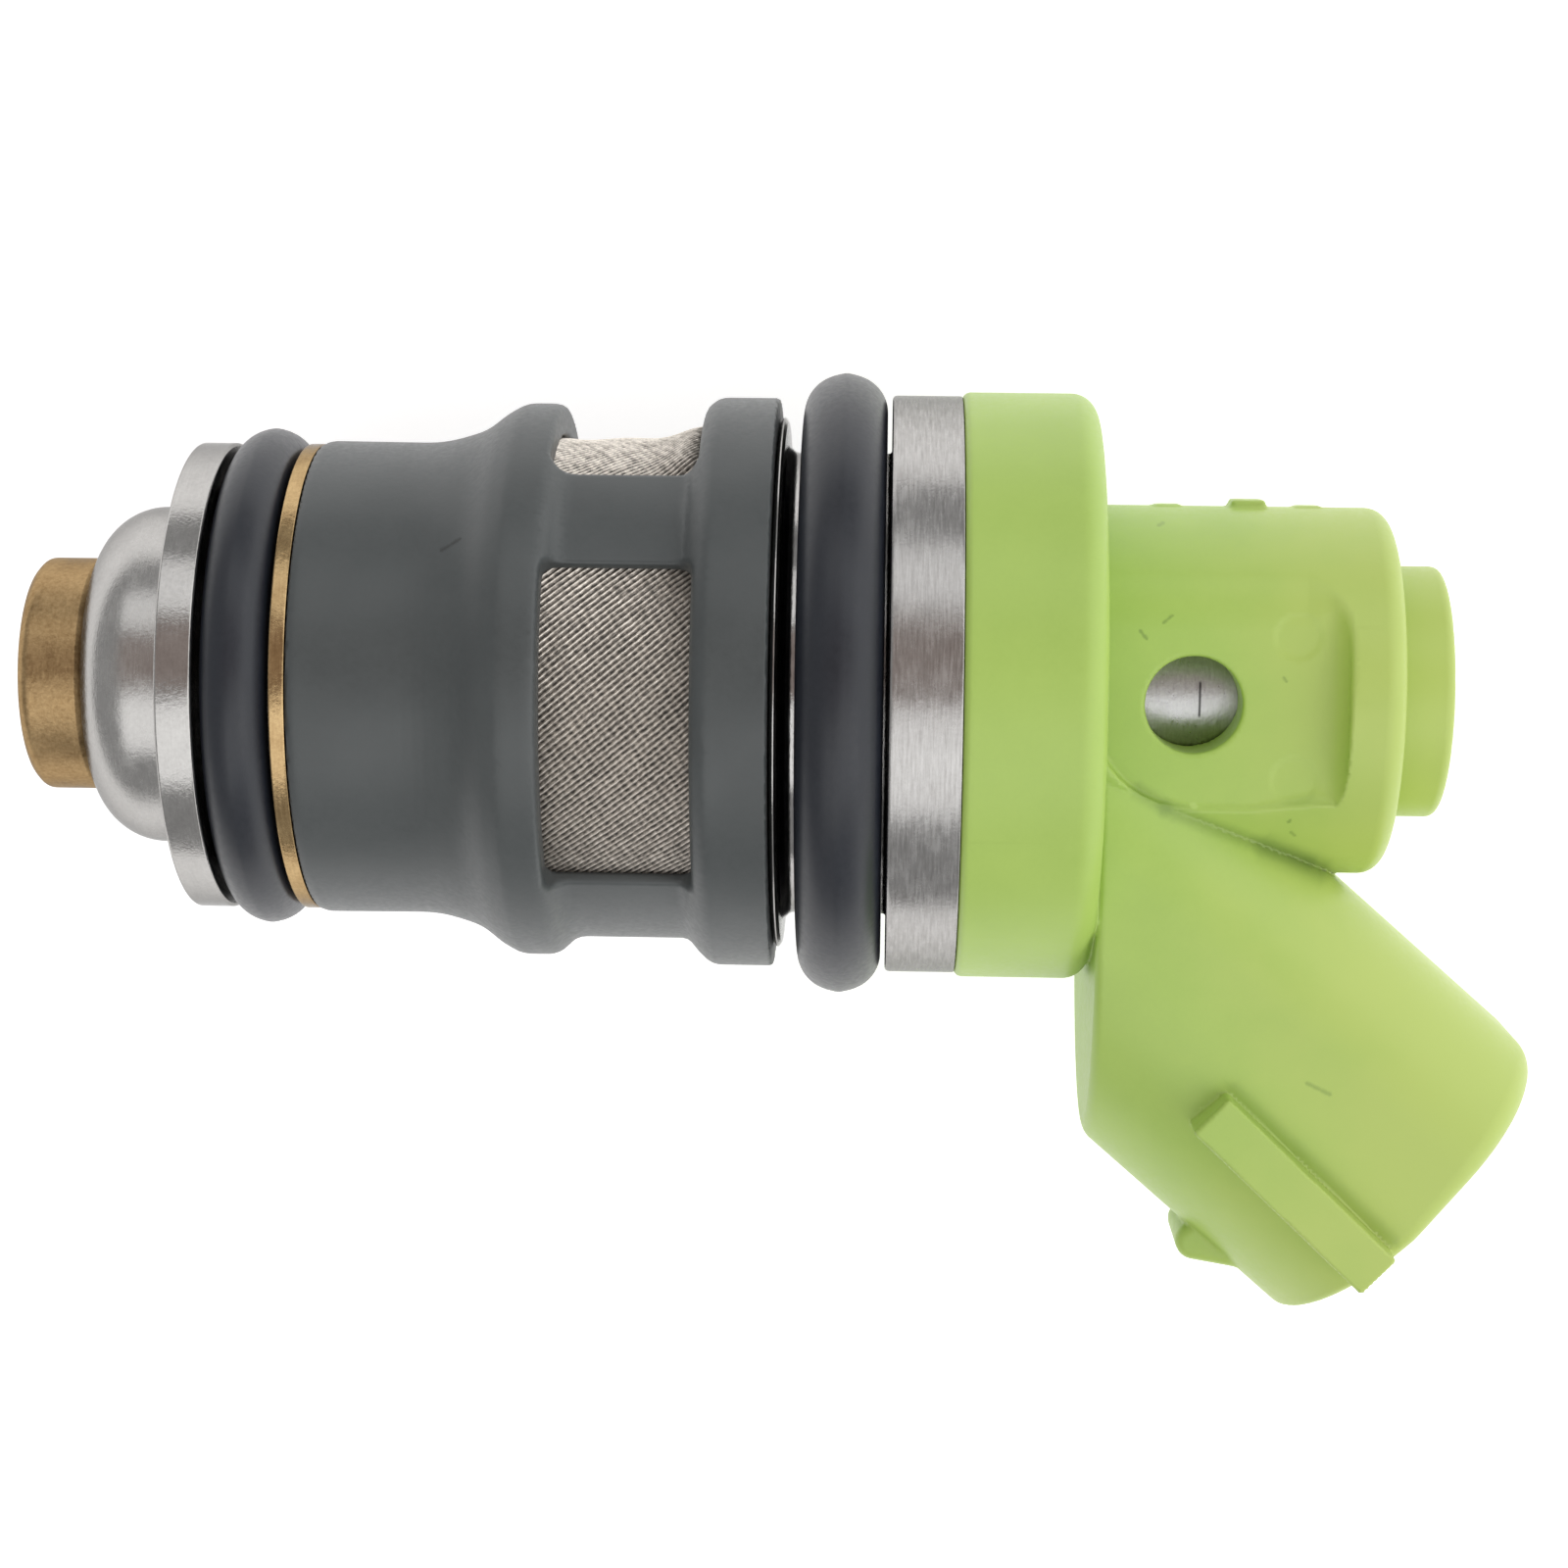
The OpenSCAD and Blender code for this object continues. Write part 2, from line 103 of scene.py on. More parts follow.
def softened(corners):
    """Outline of (x, r) points from corners (x, r, rounding), each rounded by a short curve."""
    out = []
    count = len(corners)
    for i, corner in enumerate(corners):
        here = Vector(corner[:2])
        before = Vector(corners[i - 1][:2]) - here
        after = Vector(corners[(i + 1) % count][:2]) - here
        room = CORNER_ROOM * min(before.length, after.length)
        reach = min(corner[2], room)
        if not reach:
            out.append(tuple(here))
            continue
        first = here + before.normalized() * reach
        last = here + after.normalized() * reach
        margin = min(FLAT_MARGIN, 0.5 * (room - reach))
        if margin > LEAST_MARGIN:
            out.append(tuple(first + before.normalized() * margin))
        for t in (0, 0.25, 0.5, 0.75, 1):
            point = first * (1 - t) ** 2 + here * 2 * t * (1 - t) + last * t * t
            out.append(tuple(point))
        if margin > LEAST_MARGIN:
            out.append(tuple(last + after.normalized() * margin))
    return out


def make_piece(name, verts, faces, material, node, body="injector", normals=None):
    """Mesh in mm made into a named piece that stands for a CAD node."""
    mesh = bpy.data.meshes.new(name)
    mesh.from_pydata((np.asarray(verts) * MM).tolist(), [], faces)
    mesh.update()
    piece = bpy.data.objects.new(name, mesh)
    bpy.context.scene.collection.objects.link(piece)
    mesh.polygons.foreach_set("use_smooth", [True] * len(mesh.polygons))
    if normals is None:
        mesh.set_sharp_from_angle(angle=SHARP_ANGLE)
    else:
        mesh.normals_split_custom_set_from_vertices(normals)
    mesh.materials.append(material)
    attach(piece, body)
    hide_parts(node)
    return piece


def ring_faces(rows, steps, closed=True):
    """Quads between rows of points that each go once round."""
    faces = []
    for i in range(rows if closed else rows - 1):
        a, b = i * steps, ((i + 1) % rows) * steps
        for j in range(steps):
            k = (j + 1) % steps
            faces.append((a + j, b + j, b + k, a + k))
    return faces


def lathe(name, outline, material, node, steps=180):
    """Closed outline of (x, r) points turned once round the X axis."""
    points = np.array(outline, float)
    area = np.sum(
        points[:, 0] * np.roll(points[:, 1], -1) - np.roll(points[:, 0], -1) * points[:, 1]
    )
    if area < 0:
        points = points[::-1]
    angle = np.linspace(0, 2 * math.pi, steps, endpoint=False)
    verts = np.empty((len(points), steps, 3))
    verts[:, :, 0] = points[:, :1]
    verts[:, :, 1] = points[:, 1:] * np.sin(angle)
    verts[:, :, 2] = points[:, 1:] * np.cos(angle)
    faces = ring_faces(len(points), steps)
    return make_piece(name, verts.reshape(-1, 3), faces, material, node)


# ---------------------------------------------------------------- moulded pieces, from distance fields


def union(a, b, size):
    """Joins two distance fields with a fillet of the given radius."""
    fillet = np.hypot(np.maximum(size - a, 0), np.maximum(size - b, 0))
    return np.maximum(size, np.minimum(a, b)) - fillet


def overlap(a, b, size):
    """What two distance fields share, its new edges rounded by the given radius."""
    edge = np.hypot(np.maximum(size + a, 0), np.maximum(size + b, 0))
    return np.minimum(-size, np.maximum(a, b)) + edge


def cut(a, b, size):
    """The first distance field with the second taken out, its new edges rounded."""
    return overlap(a, -b, size)


def rod(along, across, low, high, r, size):
    """Cylinder: distance along its axis from low to high, and distance across it up to r."""
    return overlap(np.abs(along - (low + high) / 2) - (high - low) / 2, across - r, size)


def rounded(p, q):
    """Distance to a corner whose two sides are at p = 0 and q = 0."""
    return np.hypot(np.maximum(p, 0), np.maximum(q, 0)) + np.minimum(np.maximum(p, q), 0)


def block(p, q, r, half, size):
    """Box about the origin of three coordinates, with rounded edges."""
    x, y, z = np.abs(p) - half[0] + size, np.abs(q) - half[1] + size, np.abs(r) - half[2] + size
    outside = np.sqrt(np.maximum(x, 0) ** 2 + np.maximum(y, 0) ** 2 + np.maximum(z, 0) ** 2)
    return outside + np.minimum(np.maximum(x, np.maximum(y, z)), 0) - size


def polygon(x, y, corners):
    """Distance to a closed polygon in a plane, negative inside it."""
    best = np.full(x.shape, 1e9)
    inside = np.zeros(x.shape, bool)
    count = len(corners)
    for i in range(count):
        ax, ay = corners[i]
        bx, by = corners[(i + 1) % count]
        ex, ey = bx - ax, by - ay
        wx, wy = x - ax, y - ay
        t = np.clip((wx * ex + wy * ey) / (ex * ex + ey * ey), 0, 1)
        best = np.minimum(best, (wx - ex * t) ** 2 + (wy - ey * t) ** 2)
        if ay != by:
            crosses = (ay > y) != (by > y)
            inside ^= crosses & (x < ex * (y - ay) / (by - ay) + ax)
    return np.where(inside, -1, 1) * np.sqrt(best)


def slope_of(field, points, step=0.01):
    """Gradient of a field at some points."""
    out = np.empty_like(points)
    for axis in range(3):
        shift = np.zeros(3)
        shift[axis] = step
        out[:, axis] = (field(points + shift) - field(points - shift)) / (2 * step)
    return out


def settle(field, points, reach, rounds=4):
    """Moves points onto the surface where the field is zero."""
    for _ in range(rounds):
        value = field(points)
        slope = slope_of(field, points)
        size = np.maximum(np.sum(slope * slope, 1), 0.05)
        move = slope * (value / size)[:, None]
        length = np.linalg.norm(move, axis=1)
        move *= np.minimum(1, reach / np.maximum(length, 1e-9))[:, None]
        points = points - move
    return points


def surface(field, low, high, cell):
    """Quads that follow the surface where a field is zero, one point per mixed cell."""
    low = np.array(low, float)
    counts = np.ceil((np.array(high) - low) / cell).astype(int) + 1
    axes = [low[i] + cell * np.arange(counts[i]) for i in range(3)]
    grid = np.empty(counts)
    plane = np.stack(np.meshgrid(axes[1], axes[2], indexing="ij"), -1).reshape(-1, 2)
    for i, x in enumerate(axes[0]):
        points = np.column_stack([np.full(len(plane), x), plane])
        grid[i] = field(points).reshape(counts[1], counts[2])
    inside = grid < 0
    corners = [(a, b, c) for a in (0, 1) for b in (0, 1) for c in (0, 1)]
    total = sum(
        inside[a : counts[0] - 1 + a, b : counts[1] - 1 + b, c : counts[2] - 1 + c].astype(int)
        for a, b, c in corners
    )
    mixed = (total > 0) & (total < 8)
    index = np.full(mixed.shape, -1)
    index[mixed] = np.arange(mixed.sum())
    cells = np.argwhere(mixed)
    place, hits = np.zeros((len(cells), 3)), np.zeros(len(cells))
    for axis in range(3):
        unit = np.eye(3, dtype=int)[axis]
        for corner in corners:
            if corner[axis]:
                continue
            p = cells + corner
            a, b = grid[tuple(p.T)], grid[tuple((p + unit).T)]
            crosses = (a < 0) != (b < 0)
            t = a[crosses] / (a[crosses] - b[crosses])
            place[crosses] += p[crosses] + t[:, None] * unit
            hits[crosses] += 1
    verts = low + cell * place / hits[:, None]
    faces = []
    for axis in range(3):
        u, v = (axis + 1) % 3, (axis + 2) % 3
        unit = np.eye(3, dtype=int)
        shape = [slice(0, n) for n in counts]
        ahead = list(shape)
        shape[axis] = slice(0, counts[axis] - 1)
        ahead[axis] = slice(1, counts[axis])
        edges = np.argwhere(inside[tuple(shape)] != inside[tuple(ahead)])
        edges = edges[
            (edges[:, u] > 0)
            & (edges[:, v] > 0)
            & (edges[:, u] < counts[u] - 1)
            & (edges[:, v] < counts[v] - 1)
        ]
        around = [edges, edges - unit[u], edges - unit[u] - unit[v], edges - unit[v]]
        quads = np.stack([index[tuple(e.T)] for e in around], 1)
        leaving = inside[tuple(edges.T)]
        quads[~leaving] = quads[~leaving][:, ::-1]
        faces.append(quads)
    return settle(field, verts, cell), np.concatenate(faces)


def moulded(name, field, low, high, cell, keep, material, node):
    """Piece whose surface is where a field is zero, thinned where it is flat."""
    verts, faces = surface(field, low, high, cell)
    mesh = bpy.data.meshes.new(name + ".net")
    mesh.from_pydata(verts.tolist(), [], faces.tolist())
    mesh.update()
    holder = bpy.data.objects.new(name + ".net", mesh)
    bpy.context.scene.collection.objects.link(holder)
    thin = holder.modifiers.new("thin", "DECIMATE")
    thin.ratio = keep
    bpy.context.view_layer.update()
    done = holder.evaluated_get(bpy.context.evaluated_depsgraph_get()).to_mesh()
    verts = np.array([v.co for v in done.vertices], float)
    faces = [tuple(p.vertices) for p in done.polygons]
    holder.to_mesh_clear()
    bpy.data.objects.remove(holder)
    bpy.data.meshes.remove(mesh)
    verts = settle(field, verts, 0.1, 3)
    normals = slope_of(field, verts)
    normals /= np.maximum(np.linalg.norm(normals, axis=1), 1e-9)[:, None]
    return make_piece(name, verts, faces, material, node, normals=normals)


# ---------------------------------------------------------------- materials


# Noise scales in this section are per mm, and the masks' edges are in mm


class Graph:
    """Short names for building a node tree."""

    def __init__(self, tree):
        self.tree = tree

    def node(self, kind):
        return self.tree.nodes.new("ShaderNode" + kind)

    def put(self, socket, value):
        """Links a socket to another one, or sets its value."""
        if isinstance(value, bpy.types.NodeSocket):
            self.tree.links.new(value, socket)
        elif socket.type == "RGBA" and len(value) == 3:
            socket.default_value = (*value, 1.0)
        else:
            socket.default_value = value

    def math(self, kind, *values):
        node = self.node("Math")
        node.operation = kind
        for socket, value in zip(node.inputs, values):
            self.put(socket, value)
        return node.outputs[0]

    def add(self, a, b):
        return self.math("ADD", a, b)

    def less(self, a, b):
        return self.math("SUBTRACT", a, b)

    def times(self, a, b):
        return self.math("MULTIPLY", a, b)

    def axes(self, vector):
        node = self.node("SeparateXYZ")
        self.put(node.inputs[0], vector)
        return node.outputs[0], node.outputs[1], node.outputs[2]

    def step(self, value, low, high):
        """Smooth step from 0 at low to 1 at high."""
        node = self.node("MapRange")
        node.interpolation_type = "SMOOTHSTEP"
        for socket, number in zip(node.inputs, (value, low, high)):
            self.put(socket, number)
        return node.outputs[0]

    def blend(self, share, first, second):
        """Colour that goes from the first to the second as the share goes from 0 to 1."""
        node = self.node("Mix")
        node.data_type = "RGBA"
        self.put(node.inputs[0], share)
        self.put(node.inputs[6], first)
        self.put(node.inputs[7], second)
        return node.outputs[2]


class Paint(Graph):
    """A material's node tree, with its places in mm."""

    def __init__(self, name):
        self.material = bpy.data.materials.new(name)
        self.material.use_nodes = True
        super().__init__(self.material.node_tree)
        self.shader = self.tree.nodes["Principled BSDF"]
        scaled = self.node("VectorMath")
        scaled.operation = "SCALE"
        self.put(scaled.inputs[0], self.node("TexCoord").outputs["Object"])
        self.put(scaled.inputs["Scale"], 1 / MM)
        self.place = scaled.outputs[0]

    def vector(self, x, y, z):
        node = self.node("CombineXYZ")
        for socket, value in zip(node.inputs, (x, y, z)):
            self.put(socket, value)
        return node.outputs[0]

    def noise(self, scale, detail=2.0, rough=0.5, at=None):
        node = self.node("TexNoise")
        self.put(node.inputs["Vector"], at or self.place)
        self.put(node.inputs["Scale"], scale)
        self.put(node.inputs["Detail"], detail)
        self.put(node.inputs["Roughness"], rough)
        return node.outputs["Fac"]

    def ramp(self, value, *stops):
        node = self.node("ValToRGB")
        self.put(node.inputs[0], value)
        ramp = node.color_ramp
        while len(ramp.elements) < len(stops):
            ramp.elements.new(0.5)
        for element, (position, colour) in zip(ramp.elements, stops):
            element.position = position
            if isinstance(colour, (int, float)):
                colour = (colour,) * 3
            element.color = (*colour, 1.0)
        return node.outputs[0]

    def stroke(self, mark, rag):
        """Mask of a soft ragged stroke on the uppermost side, seen along Z."""
        x, y, z = self.axes(self.place)
        c, s = math.cos(math.radians(mark.angle)), math.sin(math.radians(mark.angle))
        p, q = self.less(x, mark.x), self.less(y, mark.y)
        along = self.add(self.times(p, c), self.times(q, s))
        across = self.less(self.times(q, c), self.times(p, s))
        beyond = self.math("MAXIMUM", self.less(self.math("ABSOLUTE", along), mark.half), 0.0)
        gap = self.add(self.math("ABSOLUTE", across), beyond)
        gap = self.add(gap, self.times(self.less(rag, 0.5), STROKE_RAG))
        near = self.less(mark.strength, self.times(self.step(gap, 0.0, mark.width), mark.strength))
        return self.times(near, self.step(z, 0.5, 1.0))

    def around(self):
        """X and the distance from it in mm, and the angle round it."""
        x, y, z = self.axes(self.place)
        far = self.math("SQRT", self.add(self.times(y, y), self.times(z, z)))
        turn = self.math("ARCTAN2", y, z)
        return x, far, turn

    def relief(self, height, depth, under=None):
        """Bump of the given depth in mm, on top of another one."""
        node = self.node("Bump")
        self.put(node.inputs["Strength"], 1.0)
        self.put(node.inputs["Distance"], depth * MM)
        self.put(node.inputs["Height"], height)
        if under:
            self.put(node.inputs["Normal"], under)
        return node.outputs[0]

    def finish(self, colour, rough, metal=0.0, normal=None, **plain):
        """Sets the shader and gives the material back."""
        self.put(self.shader.inputs["Base Color"], colour)
        self.put(self.shader.inputs["Roughness"], rough)
        self.put(self.shader.inputs["Metallic"], metal)
        if normal:
            self.put(self.shader.inputs["Normal"], normal)
        for name, value in plain.items():
            self.put(self.shader.inputs[name.replace("_", " ")], value)
        return self.material


HALF_TINT = (0.5, 0.5, 0.5)  # halves the glare that metals have at grazing angles
SCRIBE_COLOUR = (0.03, 0.03, 0.03)


def turned_metal(name, colour, dark, rough, lines, pits, blotch, haze=None, scribe=None):
    """Metal with fine turning marks round the X axis, small pits and uneven tone.

    Haze is (X, share): on the nozzle's side of X the metal is rougher by that share.
    Scribe is (X, half length) of a dark line scratched across the uppermost side."""
    g = Paint(name)
    x, far, turn = g.around()
    streaks = g.noise(11.0, 3.0, 0.6, g.vector(g.add(x, far), 0.0, g.times(turn, 0.9)))
    cloud = g.noise(0.9, 3.0, 0.6)
    grains = g.noise(6.0, 3.0, 0.7)
    tone = g.add(g.times(streaks, lines), g.times(cloud, blotch))
    tone = g.add(tone, g.times(grains, pits * 0.5))
    middle = 0.5 * (lines + blotch + pits * 0.5)
    shade = g.ramp(tone, (max(middle - 0.22, 0), dark), (middle + 0.16, colour))
    if scribe:
        beside = g.math("ABSOLUTE", g.less(x, scribe[0]))
        along = g.math("ABSOLUTE", g.axes(g.place)[1])
        narrow = g.less(1.0, g.step(beside, 0.02, 0.07))
        short = g.less(1.0, g.step(along, scribe[1] - 0.15, scribe[1]))
        shade = g.blend(g.times(g.times(narrow, short), 0.85), shade, SCRIBE_COLOUR)
    uneven = g.add(g.times(streaks, 0.5), g.times(cloud, 0.5))
    gloss = g.ramp(uneven, (0.35, rough * 0.75), (0.65, rough * 1.25))
    if haze:
        share = g.step(x, haze[0] - 0.05, haze[0] + 0.05)
        gloss = g.times(gloss, g.less(1.0 + haze[1], g.times(share, haze[1])))
    bump = g.relief(streaks, 0.006 * lines)
    bump = g.relief(grains, 0.012 * pits, bump)
    return g.finish(shade, gloss, 1.0, bump, Specular_Tint=HALF_TINT)


def moulded_plastic(name, colour, shade, rough, grain, sunny=None, strokes=(), stroke_colour=None):
    """Moulded plastic: faint clouding, fine surface grain and a few strokes of another colour:
    scratches, and painted shade in corners.

    Sunny is a colour that takes over towards the cap."""
    g = Paint(name)
    cloud = g.noise(0.22, 3.0, 0.55)
    speck = g.noise(4.5, 4.0, 0.6)
    tone = g.add(g.times(cloud, 0.75), g.times(speck, 0.25))
    paint = g.ramp(tone, (0.32, shade), (0.68, colour))
    if sunny:
        drift = g.add(g.axes(g.place)[0], g.times(g.less(cloud, 0.5), 9.0))
        paint = g.blend(g.times(g.step(drift, 9.0, 20.0), 0.85), paint, sunny)
    # Each stroke paints a scratch, or painted shade in a corner, in the stroke colour
    for mark in strokes:
        paint = g.blend(g.stroke(mark, speck), paint, stroke_colour)
    gloss = g.ramp(speck, (0.3, rough * 0.85), (0.7, rough * 1.15))
    return g.finish(paint, gloss, 0.0, g.relief(speck, grain))


# A stroke is a scuff, or painted shade in a corner: its middle, its angle in degrees, half its length
# and the width over which it fades, in mm, and how strong it is
Stroke = namedtuple("Stroke", "x y angle half width strength")
STROKE_RAG = 0.12
BESIDE_HOLE = (
    Stroke(9.45, 2.6, -52, 0.2, 0.11, 0.6),
    Stroke(10.35, 3.2, 38, 0.22, 0.11, 0.6),
    Stroke(10.25, 6.55, 20, 0.12, 0.1, 0.4),
    Stroke(14.75, 1.0, -60, 0.1, 0.1, 0.5),
)
BELOW_FLAT = (
    Stroke(15.1, -4.35, 60, 0.06, 0.11, 0.6),
    Stroke(15.3, -4.9, -40, 0.12, 0.11, 0.5),
)
ON_SOCKET = (Stroke(16.35, -14.3, -25, 0.5, 0.14, 0.45),)
# Painted shade: darker green along the crease where the neck meets the socket
NECK_CREASE_SHADE = (
    Stroke(9.9, -3.55, -30, 0.7, 0.5, 0.4),
    Stroke(13.3, -5.05, -22, 3.2, 0.5, 0.5),
    Stroke(15.5, -6.0, -25, 1.4, 0.8, 0.5),
)
# Painted shadow: darker green on the socket along the rail's upper side
RAIL_SIDE_SHADE = (Stroke(16.25, -17.25, -43, 4.3, 0.5, 0.25),)
# Green strokes: real scratches and scuffs, plus the painted shade of the two lists above
GREEN_SCRATCHES_AND_SHADE = BESIDE_HOLE + BELOW_FLAT + ON_SOCKET + NECK_CREASE_SHADE + RAIL_SIDE_SHADE
CAGE_STROKES = (Stroke(-16.15, 5.75, 32, 0.42, 0.11, 0.7),)

# Metals: colour, darker colour, roughness, then how strong the turning marks, pits and blotches are
brass = turned_metal("brass", (0.47, 0.325, 0.165), (0.26, 0.165, 0.075), 0.40, 0.25, 1.3, 0.5)
ring_brass = turned_metal("ring_brass", (0.52, 0.37, 0.19), (0.32, 0.21, 0.10), 0.20, 0.4, 0.9, 0.5)
steel = turned_metal(
    "steel", (0.50, 0.49, 0.475), (0.36, 0.35, 0.34), 0.17, 0.3, 0.7, 0.3, haze=(-26.9, 0.5)
)
ground_steel = turned_metal(
    "ground_steel", (0.50, 0.49, 0.48), (0.31, 0.30, 0.29), 0.25, 0.8, 0.4, 0.2, haze=(-3.2, -0.5)
)
tube_steel = turned_metal(
    "tube_steel", (0.55, 0.55, 0.54), (0.38, 0.38, 0.38), 0.34, 0.6, 0.7, 0.2, scribe=(11.8, 0.75)
)
hidden_steel = turned_metal(
    "hidden_steel", (0.60, 0.60, 0.60), (0.44, 0.44, 0.44), 0.30, 0.7, 0.3, 0.2
)
spring_steel = turned_metal(
    "spring_steel", (0.50, 0.50, 0.50), (0.34, 0.34, 0.34), 0.32, 0.3, 0.5, 0.3
)
copper = turned_metal("copper", (0.80, 0.42, 0.24), (0.55, 0.26, 0.14), 0.30, 1.0, 0.2, 0.2)
tin = turned_metal("terminal_metal", (0.72, 0.66, 0.50), (0.52, 0.47, 0.34), 0.28, 0.3, 0.4, 0.4)

# Rubber and plastics: colour, darker colour, roughness and the grain's depth in mm
rubber = moulded_plastic("rubber", (0.016, 0.019, 0.027), (0.011, 0.013, 0.019), 0.37, 0.004)
green = moulded_plastic(
    "green_plastic", (0.405, 0.572, 0.123), (0.366, 0.528, 0.107), 0.42, 0.004,
    # Darker green for the scratches and for the painted shade in the corners
    sunny=(0.468, 0.578, 0.140), strokes=GREEN_SCRATCHES_AND_SHADE, stroke_colour=(0.16, 0.26, 0.05),
)
grey = moulded_plastic(
    "cage_plastic", (0.074, 0.082, 0.083), (0.057, 0.064, 0.065), 0.42, 0.006,
    strokes=CAGE_STROKES, stroke_colour=(0.02, 0.02, 0.02),
)
dark_plastic = moulded_plastic(
    "spool_plastic", (0.05, 0.05, 0.052), (0.035, 0.035, 0.037), 0.5, 0.006
)

# Gauze: wires round the sleeve, how far they climb round it per mm of X, a knuckle's length in X,
# and the share of a knuckle by which each wire is set off from the one before
WIRES = 230
WIRE_SLANT = 0.84
KNUCKLE = 0.27
KNUCKLE_SHIFT = 0.37
# Wire colours by height: painted shade in the gaps, the wire's own grey, and a painted highlight on
# the knuckles
WIRE_GAP_SHADE = (0.075, 0.070, 0.063)
WIRE_GREY = (0.39, 0.355, 0.315)
WIRE_KNUCKLE_HIGHLIGHT = (0.92, 0.86, 0.78)


def gauze_material(r):
    """Woven wire: painted highlights on the knuckles along slanting wires, painted shade in the gaps
    between them, random dirt and painted glints.
    """
    g = Paint("gauze")
    x, far, turn = g.around()
    wobble = g.times(g.less(g.noise(0.7, 2.0), 0.5), 0.9)
    wires = g.times(g.less(turn, g.times(x, WIRE_SLANT / r)), WIRES / (2 * math.pi))
    stray = g.times(g.less(g.noise(2.2, 2.0), 0.5), 0.55)
    ridge = g.math("COSINE", g.times(g.add(wires, stray), 2 * math.pi))
    number = g.math("FLOOR", g.add(wires, 0.5))
    along = g.add(g.math("DIVIDE", x, KNUCKLE), g.times(number, KNUCKLE_SHIFT))
    beads = g.math("COSINE", g.times(g.add(along, wobble), 2 * math.pi))
    height = g.add(g.add(g.times(ridge, 0.34), g.times(beads, 0.09)), 0.5)
    dirt = g.noise(1.0, 4.0, 0.65)
    # Painted glints: small bright spots added to the colour
    painted_glints = g.noise(7.0, 2.0, 0.7)
    tone = g.add(g.times(height, 0.62), g.times(dirt, 0.18))
    tone = g.add(tone, g.times(painted_glints, 0.55))
    # Low gaps get painted shade and high knuckles a painted highlight
    colour = g.ramp(tone, (0.40, WIRE_GAP_SHADE), (0.62, WIRE_GREY), (0.92, WIRE_KNUCKLE_HIGHLIGHT))
    return g.finish(colour, 0.40, 0.6, g.relief(height, 0.04))


gauze = gauze_material(radius("filter_gauze"))

plain_finish = {
    "needle": hidden_steel, "armature": hidden_steel, "lift_stop": hidden_steel,
    "orifice_plate": hidden_steel, "return_plate": hidden_steel, "core_tube": tube_steel,
    "return_spring": spring_steel, "adjusting_pin": brass, "adjuster_o_ring": rubber,
    "bobbin": dark_plastic, "coil_winding": copper, "lower_coil_seal": rubber,
    "upper_coil_seal": rubber, "terminal_left": tin, "terminal_right": tin,
}
for name, material in plain_finish.items():
    mesh = nodes[name].data
    mesh.materials.clear()
    mesh.materials.append(material)


def make_spring():
    """Return spring: a copy of the CAD's spring, fixed to the injector's body."""
    piece = bpy.data.objects.new("coil_spring", nodes["return_spring"].data.copy())
    bpy.context.scene.collection.objects.link(piece)
    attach(piece, "injector")
    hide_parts("return_spring")
    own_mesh(piece)


make_spring()

# ---------------------------------------------------------------- nozzle

tip_front, tip_back = ends("nozzle_tip")
tip_r = radius("nozzle_tip")
body_front, body_back = ends("nozzle_body")
flange_r = radius("nozzle_body")
plate_back = ends("orifice_plate")[1]
spigot_r = radius("orifice_plate")
SPRAY_HOLE_R = 1.4
SPRAY_MOUTH_R = 2.4
SPRAY_MOUTH_DEPTH = 1.6
TIP_CHAMFER = 0.32

lathe(
    "spray_tip",
    softened([
        (tip_front, SPRAY_MOUTH_R, 0.08), (tip_front, tip_r - 0.38, 0.12),
        (tip_front + TIP_CHAMFER, tip_r, 0.2), (body_front - TIP_CHAMFER, tip_r, 0.03),
        (body_front - 0.02, tip_r - 0.18, 0), (body_front, tip_r - 0.18, 0),
        (body_front, spigot_r, 0), (tip_back, spigot_r, 0.05),
        (tip_back, SPRAY_HOLE_R, 0.05), (tip_front + SPRAY_MOUTH_DEPTH, SPRAY_HOLE_R, 0.2),
    ]),
    brass, "nozzle_tip",
)

SLIP = 0.02  # clearance that keeps fitted pieces from sharing a surface
FLANGE_THICKNESS = 1.4
SEAL_GAP = 0.2
SHANK_LENGTH = 12.05
BACKUP_SECTION = 1.93
DOME_ROUND = 2.5
DOME_RING_R = 4.1
DOME_STRAIGHT = 1.45
BEVEL_R = 5.15
STEM_R = 6.0
flange_back = ends("lower_o_ring")[0] - SEAL_GAP
flange_front = flange_back - FLANGE_THICKNESS
shank_end = flange_back + SHANK_LENGTH
shank_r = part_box("backup_ring")[1].y / MM - BACKUP_SECTION
dome_x = flange_front - DOME_STRAIGHT
dome_r = DOME_RING_R + DOME_ROUND
front_turn = 180 - math.degrees(math.asin((BEVEL_R - DOME_RING_R) / DOME_ROUND))

# Bore that the needle slides in: distance from the body's back end, and radius
STOP_POCKET_R = 2.9
GUIDE_R = 2.0
RELIEF_R = 2.8
SEAT_HOLE_R = 0.9
needle_bore = [
    (body_back - depth, r, size) for depth, r, size in (
        (0, STOP_POCKET_R, 0.05), (4.2, STOP_POCKET_R, 0), (4.2, GUIDE_R, 0.05), (7.0, GUIDE_R, 0),
        (7.0, RELIEF_R, 0), (12.6, RELIEF_R, 0), (12.6, GUIDE_R, 0), (15.8, GUIDE_R, 0.05),
        (16.9, SEAT_HOLE_R, 0),
    )
]
tip_seat = [
    (plate_back, spigot_r + SLIP, 0), (body_front + 0.1, spigot_r + SLIP, 0),
    (body_front + 0.1, tip_r - 0.1, 0.02),
]
dome_edge = [
    (body_front, tip_r + 0.05), (body_front, tip_r + 0.08), (body_front + 0.02, tip_r + 0.13),
]
